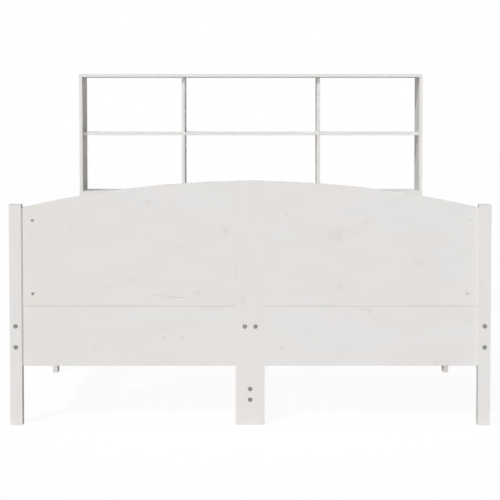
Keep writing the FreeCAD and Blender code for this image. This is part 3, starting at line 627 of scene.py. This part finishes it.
# %% Wood under any finish
def wood_under(tree, name, ring_width, strip_width, start):
    """Feeds the shared groups for one board. Returns the point, and the masks of its wood."""
    directions = grain_of(name)
    dice = random.Random("knots of " + name)
    position = place(tree, "TexCoord").outputs["Object"]
    along, across, through = directions
    where = use(tree, board_place, Position=position, Along=along, Across=across, Through=through)["Place"]
    straight = where
    core, stain = 0.0, 0.0
    for centre, radius, strength, resin, hollow in knots_of(name, directions, dice):
        feeds = {"Centre": centre, "Radius": radius, "Strength": strength, "Resin": resin, "Hollow": hollow}
        knot = use(tree, knot_group, Place=where, **feeds)
        where = knot["Place"]
        core = calc(tree, "MAXIMUM", core, knot["Core"])
        stain = calc(tree, "MAXIMUM", stain, knot["Stain"])
    streak = 0.0
    for x, z, half_length, half_width, strength, slope in STREAKS.get(name, []):
        centre = measured_in_board((x * MM, 0, z * MM), directions)
        flat_place = vector_calc(tree, "MULTIPLY", where, FLATTENED)
        feeds = {"Half_length": half_length * MM, "Half_width": half_width * MM, "Slope": slope}
        line = use(tree, streak_group, Place=flat_place, Centre=centre, Strength=strength, **feeds)
        streak = calc(tree, "MAXIMUM", streak, line["Streak"])
    grain = use(tree, grain_group, Place=where, Start=start, Strip_width=strip_width, Ring_width=ring_width)
    return straight, position, core, stain, streak, grain


def new_material(title):
    """A new material, its net of steps, and the surface in which that net ends."""
    material = bpy.data.materials.new(title)
    material.use_nodes = True
    return material, material.node_tree, material.node_tree.nodes["Principled BSDF"]


def raised(tree, height, depth):
    """Turns a height into the small relief of a surface. Its depth is in metres."""
    return place(tree, "Bump", {"Height": height, "Distance": depth}).outputs["Normal"]


print("groups under every finish:", [group.name for group in (board_place, knot_group, grain_group)])

# %% [markdown]
# ## White-painted pine
# Each painted board gets a material of its own. One material for all would be shorter, but every board has
# other knots, other streaks and a white of its own.

# %% White-painted pine
PAINT_RELIEF = 0.00006
PAINTED_STRIP_WIDTH = 0.085
LITTLE_GLOSS = 0.1
BOOKCASE_COVER = 0.92


def cloud_at(tree, name, place_in_board, cloud):
    """A cloud of tone on one board, from its place in the footboard."""
    x, z, half_width, half_height, strength = cloud
    directions = grain_of(name)
    centre = measured_in_board((x * MM, 0, z * MM), directions)
    along, across, _ = measured_in_board((half_width * MM, 0, half_height * MM), directions)
    feeds = {"Centre": centre, "Half_size": (along, across, 1.0), "Strength": strength}
    return use(tree, cloud_group, Place=place_in_board, **feeds)["Cloud"]


def painted_pine(name):
    """The white finish of one board."""
    material, tree, surface = new_material("White-painted pine of " + name)
    dice = random.Random("paint of " + name)
    start = (dice.uniform(0, 9), dice.uniform(0, 9), 0.0)
    leaning, cream = LEANINGS.get(name, (dice.uniform(0.3, 0.8), dice.uniform(0.0, 0.08)))
    cover = BOOKCASE_COVER if name.startswith("bookcase_") else 0.0
    ring_width = dice.uniform(0.0035, 0.0055)
    wood = wood_under(tree, name, ring_width, PAINTED_STRIP_WIDTH, start)
    straight, position, core, stain, streak, grain = wood
    edge = use(tree, edge_group, Position=position)["Edge"]
    for cloud in COOL_CLOUDS.get(name, []):
        leaning = calc(tree, "ADD", leaning, cloud_at(tree, name, straight, cloud))
    for cloud in CREAM_CLOUDS.get(name, []):
        cream = calc(tree, "ADD", cream, cloud_at(tree, name, straight, cloud))
    paint = use(
        tree, paint_group, Place=straight, Late_wood=grain["Late wood"], Fibre=grain["Fibre"],
        Cloud=grain["Cloud"], Strip=grain["Strip"], Core=core, Stain=stain, Streak=streak, Edge=edge,
        Leaning=leaning, Cream=cream, Cover=cover,
    )
    tree.links.new(paint["Colour"], surface.inputs["Base Color"])
    tree.links.new(paint["Roughness"], surface.inputs["Roughness"])
    tree.links.new(raised(tree, paint["Height"], PAINT_RELIEF), surface.inputs["Normal"])
    surface.inputs["Specular IOR Level"].default_value = LITTLE_GLOSS
    return material


print("strips of the painted boards, mm:", PAINTED_STRIP_WIDTH / MM)

# %% [markdown]
# ## Bare slats
# Nobody sees the slats once the mattress is on, so they are left unpainted: yellow pine with strong late
# wood lines and brown knots. Each slat could have a material of its own, but one set of them is one piece of
# the model. The strips of the grain group are set to the distance from slat to slat instead, so that each
# slat is cut from wood of its own.

# %% Bare pine
DECK_LENGTH, SLATS, SLAT_WIDTH = 2.0, 14, 0.07
SLAT_PITCH = DECK_LENGTH / SLATS
FIRST_STRIP_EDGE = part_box("slats_left")[0].y - (SLAT_PITCH - SLAT_WIDTH) / 2
STRIPS_SKIPPED = 9
SLAT_RING_WIDTH = 0.0042
SLAT_RELIEF = 0.00008
PALE_PINE, DEEPER_PINE = linear(226, 196, 152), linear(216, 180, 132)
LATE_WOOD_BROWN, FIBRE_BROWN = linear(184, 134, 82), linear(196, 150, 100)
RESIN_BROWN, KNOT_BROWN = linear(200, 146, 92), linear(122, 76, 44)


def bare_pine(name):
    """The unpainted finish of one set of slats."""
    material, tree, surface = new_material("Bare pine of " + name)
    start = (0.0, -FIRST_STRIP_EDGE + STRIPS_SKIPPED * SLAT_PITCH, 0.0)
    _, _, core, stain, _, grain = wood_under(tree, name, SLAT_RING_WIDTH, SLAT_PITCH, start)
    colour = tinted(tree, grain["Cloud"], PALE_PINE, DEEPER_PINE)
    colour = tinted(tree, calc(tree, "MULTIPLY", grain["Late wood"], 0.75), colour, LATE_WOOD_BROWN)
    colour = tinted(tree, fade(tree, grain["Fibre"], 0.3, 0.7, 0.0, 0.22), colour, FIBRE_BROWN)
    colour = tinted(tree, calc(tree, "MULTIPLY", stain, 1.2, clamp=True), colour, RESIN_BROWN)
    colour = tinted(tree, calc(tree, "MULTIPLY", core, 2.8, clamp=True), colour, KNOT_BROWN)
    tree.links.new(colour, surface.inputs["Base Color"])
    rough = calc(tree, "MULTIPLY_ADD", grain["Late wood"], -0.12, 0.66)
    tree.links.new(rough, surface.inputs["Roughness"])
    height = calc(tree, "MULTIPLY_ADD", grain["Late wood"], 0.6, grain["Fibre"])
    tree.links.new(raised(tree, height, SLAT_RELIEF), surface.inputs["Normal"])
    surface.inputs["IOR"].default_value = 1.45
    return material


print("from slat to slat, mm:", round(SLAT_PITCH / MM, 1))

# %% [markdown]
# ## Zinc-plated steel
# Bolts, barrel nuts, screws and joining plates are plated with zinc: grey, a little clouded and finely
# scratched where the key turned. Sockets, corners and bevels get a painted shade where light reaches less.
# A mirror-like metal would look like chrome, so clouds and scratches break the shine.

# %% Group: zinc plating
zinc_group, taken, given = new_group(
    "Zinc plating",
    {"Position": (VECTOR, (0, 0, 0)), "Bright": (NUMBER, 1.0), "Dark": (NUMBER, 0.4)},
    {"Colour": COLOUR, "Roughness": NUMBER, "Height": NUMBER},
)
tree = zinc_group
FINE_SCRATCHES = (2200.0, 300.0, 700.0)
PAINTED_SHADE_REACH = 0.003
NEW_ZINC, DULL_ZINC = linear(188, 188, 184), linear(164, 165, 163)
SCRATCHED_ZINC, PAINTED_SHADE_GREY = linear(214, 214, 212), linear(58, 55, 52)
clouds = noise(tree, taken["Position"], 260.0, 4.0, 0.65)
scratched_place = vector_calc(tree, "MULTIPLY", taken["Position"], FINE_SCRATCHES)
scratches = noise(tree, scratched_place, 1.0, 2.0, 0.6)
# Painted shade: ambient occlusion darkens corners and sockets towards a dark grey, as shade would.
hidden = place(tree, "AmbientOcclusion", {"Distance": PAINTED_SHADE_REACH}, samples=4).outputs["AO"]
painted_shade = calc(tree, "MULTIPLY", fade(tree, hidden, 0.85, 0.25), taken["Dark"])
colour = tinted(tree, fade(tree, clouds, 0.35, 0.7), NEW_ZINC, DULL_ZINC)
colour = tinted(tree, fade(tree, scratches, 0.62, 0.75, 0.0, 0.4), colour, SCRATCHED_ZINC)
bright = joined(tree, taken["Bright"], taken["Bright"], taken["Bright"])
colour = tinted(tree, 1.0, colour, bright, blend="MULTIPLY")
# Painted shade on bevels: faces that square to no axis are darkened too, for the dark rims round heads.
facing = vector_calc(tree, "ABSOLUTE", place(tree, "NewGeometry").outputs["Normal"])
facing_x, facing_y, facing_z = split(tree, facing)
squarely = calc(tree, "MAXIMUM", calc(tree, "MAXIMUM", facing_x, facing_y), facing_z)
painted_bevel_shade = calc(tree, "MULTIPLY", fade(tree, squarely, 0.985, 0.9), taken["Dark"])
painted_shade = calc(tree, "MAXIMUM", painted_shade, painted_bevel_shade)
colour = tinted(tree, painted_shade, colour, PAINTED_SHADE_GREY)
rough = calc(tree, "MULTIPLY_ADD", painted_shade, 0.3, fade(tree, clouds, 0.3, 0.7, 0.3, 0.48))
give(tree, given, Colour=colour, Roughness=rough, Height=scratches)
print("zinc plating:", len(tree.nodes), "steps")

# %% [markdown]
# ## Steel of the fittings
# Bolts, nuts, screws and plates share the plating and differ in how bright they are and how much painted
# shade their corners and bevels get. Each kind could have plating of its own, but two values on one group
# say the same. In the photograph the barrel nuts of the right panel look brighter than those of the left
# one, so their brightness changes between them. The darker left nuts are a painted shade of their holes.

# %% Steel of the fittings
STEEL_RELIEF = 0.00002
MIDDLE_OF_BED = (-0.1, 0.1)


def zinc_plated(title, bright, dark, bright_right=None):
    """Bright is how much light the plating sends back, with another value on the right of the bed where
    bright_right gives one. Dark is how strong the painted shade is in corners, sockets and on bevels."""
    material, tree, surface = new_material(title)
    position = place(tree, "TexCoord").outputs["Object"]
    if bright_right is not None:
        bright = fade(tree, split(tree, position)[0], *MIDDLE_OF_BED, bright, bright_right)
    zinc = use(tree, zinc_group, Position=position, Bright=bright, Dark=dark)
    tree.links.new(zinc["Colour"], surface.inputs["Base Color"])
    tree.links.new(zinc["Roughness"], surface.inputs["Roughness"])
    tree.links.new(raised(tree, zinc["Height"], STEEL_RELIEF), surface.inputs["Normal"])
    surface.inputs["Metallic"].default_value = 1.0
    return material


# Dark sets the painted shade of corners and bevels: strongest on the bolts, whose head rims look dark.
bolt_steel = zinc_plated("Zinc-plated steel of the bolts", 0.5, 0.9)
# Painted shade: the barrel nuts on the left of the bed get the lower brightness, for holes lying in shade.
nut_steel = zinc_plated("Zinc-plated steel of the barrel nuts", 0.45, 0.6, bright_right=0.95)
screw_steel = zinc_plated("Zinc-plated steel of the screws", 0.9, 0.6)
plate_steel = zinc_plated("Zinc-plated steel of the joining plates", 1.0, 0.3)
FITTINGS = {
    "rail_bolts": bolt_steel, "panel_bolts": bolt_steel, "centre_bolts": bolt_steel,
    "rail_barrel_nuts": nut_steel, "panel_barrel_nuts": nut_steel, "joining_plates": plate_steel,
    "plate_screws": screw_steel, "ledge_screws": screw_steel, "slat_screws": screw_steel,
    "beam_screws": screw_steel, "plank_screws": screw_steel, "bookcase_screws": screw_steel,
    "bookcase_fixing_screws": screw_steel,
}
print("kinds of fittings:", len(FITTINGS))

# %% [markdown]
# ## Beech dowels
# The dowels are hidden in the joints. Beech has no strong rings: it is an even pinkish brown with short
# dark flecks, and fluted dowels are pressed, so they are a little shiny. The pine's groups would give them
# rings, so beech is a small net of its own.

# %% Beech
FLECKS = (900.0, 900.0, 160.0)
PALE_BEECH, DEEPER_BEECH = linear(214, 176, 138), linear(202, 160, 120)
FLECK_BROWN = linear(160, 112, 78)
BEECH_RELIEF = 0.00004
beech_wood, tree, surface = new_material("Beech of the dowels")
position = place(tree, "TexCoord").outputs["Object"]
flecks = noise(tree, vector_calc(tree, "MULTIPLY", position, FLECKS), 1.0, 2.0, 0.6)
colour = tinted(tree, noise(tree, position, 60.0, 2.0), PALE_BEECH, DEEPER_BEECH)
colour = tinted(tree, fade(tree, flecks, 0.6, 0.72, 0.0, 0.5), colour, FLECK_BROWN)
tree.links.new(colour, surface.inputs["Base Color"])
tree.links.new(fade(tree, flecks, 0.3, 0.7, 0.45, 0.6), surface.inputs["Roughness"])
tree.links.new(raised(tree, flecks, BEECH_RELIEF), surface.inputs["Normal"])
print("beech:", len(tree.nodes), "steps")

# %% [markdown]
# ## Giving every piece its finish
# Each piece of the model keeps its shape and takes the material made for it. The pieces could be listed one
# by one, but the start or the end of a name already tells what it is made of.

# %% Finish every piece
finished = {"painted": 0, "bare": 0, "steel": 0, "beech": 0}
for name, board in boards.items():
    if name in FITTINGS:
        material, kind = FITTINGS[name], "steel"
    elif name.endswith("dowels"):
        material, kind = beech_wood, "beech"
    elif name.startswith("slats_"):
        material, kind = bare_pine(name), "bare"
    else:
        material, kind = painted_pine(name), "painted"
    for slot in board.material_slots:
        slot.material = material
    finished[kind] += 1
print("finished:", finished)

# %% [markdown]
# ## Floor and background
# The photograph shows the bed on pure white. A room bright enough for that would burn out the paint. So the
# floor and the room are white to the camera and to shiny metal, while the bed gets the light of a plain
# pale floor and hardly any from the room. The floor keeps a little of the bed's shadow.

# %% White floor and white surroundings
FLOOR_HALF = 30.0
FLOOR_SHOWS_LIGHT = 0.12
FLOOR_GLOW = 1.06
ROOM_LIGHT = 0.04
PALE_GREY, WHITE = (0.8, 0.8, 0.8, 1), (1, 1, 1, 1)


def seen_directly(tree):
    """1 for what the camera, a reflection or clear glass sees, 0 for light that falls on the bed."""
    rays = place(tree, "LightPath").outputs
    seen = calc(tree, "MAXIMUM", rays["Is Camera Ray"], rays["Is Glossy Ray"])
    return calc(tree, "MAXIMUM", seen, rays["Is Transmission Ray"])


corners = [(x * FLOOR_HALF, y * FLOOR_HALF, 0) for x, y in ((-1, -1), (1, -1), (1, 1), (-1, 1))]
floor_mesh = bpy.data.meshes.new("Floor")
floor_mesh.from_pydata(corners, [], [(0, 1, 2, 3)])
floor = bpy.data.objects.new("Floor", floor_mesh)
bpy.context.scene.collection.objects.link(floor)

floor_material = bpy.data.materials.new("White floor")
floor_material.use_nodes = True
tree = floor_material.node_tree
tree.nodes.clear()
matt = place(tree, "BsdfDiffuse", {"Color": PALE_GREY}).outputs[0]
glow = place(tree, "Emission", {"Color": WHITE, "Strength": FLOOR_GLOW}).outputs[0]
shown = place(tree, "MixShader", {0: 1 - FLOOR_SHOWS_LIGHT, 1: matt, 2: glow}).outputs[0]
either = place(tree, "MixShader", {0: seen_directly(tree), 1: matt, 2: shown}).outputs[0]
place(tree, "OutputMaterial", {"Surface": either})
floor_mesh.materials.append(floor_material)

world = bpy.data.worlds.new("White room")
bpy.context.scene.world = world
world.use_nodes = True
tree = world.node_tree
tree.nodes.clear()
room = place(tree, "Background", {"Color": WHITE, "Strength": ROOM_LIGHT}).outputs[0]
white = place(tree, "Background", {"Color": WHITE, "Strength": 1.0}).outputs[0]
sky = place(tree, "MixShader", {0: seen_directly(tree), 1: room, 2: white}).outputs[0]
place(tree, "OutputWorld", {"Surface": sky})
print("floor half width, m:", FLOOR_HALF)

# %% [markdown]
# ## Lamps
# The shadows of the photograph tell where its lamps stood. The top board throws a short shadow on the
# dividers and a slanting one on the right side, so the main lamp is far away, up and to the left of the
# camera. A wide soft lamp near the camera fills the front. One light for everything would leave the sides
# and the top of the boards black, so weaker lamps stand above, behind, to the right and to the left.

# %% Lamps
def lamp(title, towards, strength, softness):
    """A distant lamp in the direction `towards`, seen from the bed. Softness is its width in degrees."""
    light = bpy.data.lights.new(title, "SUN")
    light.energy = strength
    light.angle = math.radians(softness)
    holder = bpy.data.objects.new(title, light)
    x, y, z = towards
    holder.rotation_euler = (math.atan2(math.hypot(x, y), z), 0, math.atan2(x, -y))
    bpy.context.scene.collection.objects.link(holder)
    return holder


lamps = [
    lamp("Main lamp, front left", (-0.62, -1.0, 0.88), 1.75, 2.5),
    lamp("Fill near the camera", (0.0, -1.0, 0.1), 1.48, 40.0),
    lamp("Above the bed", (0.0, -0.05, 1.0), 0.3, 30.0),
    lamp("Behind the bed", (0.0, 1.0, 0.15), 1.5, 10.0),
    lamp("Right of the bed", (1.0, 0.0, 0.1), 0.9, 6.0),
    lamp("Left of the bed", (-1.0, 0.0, 0.1), 0.5, 6.0),
]
print("lamps:", [holder.name for holder in lamps])
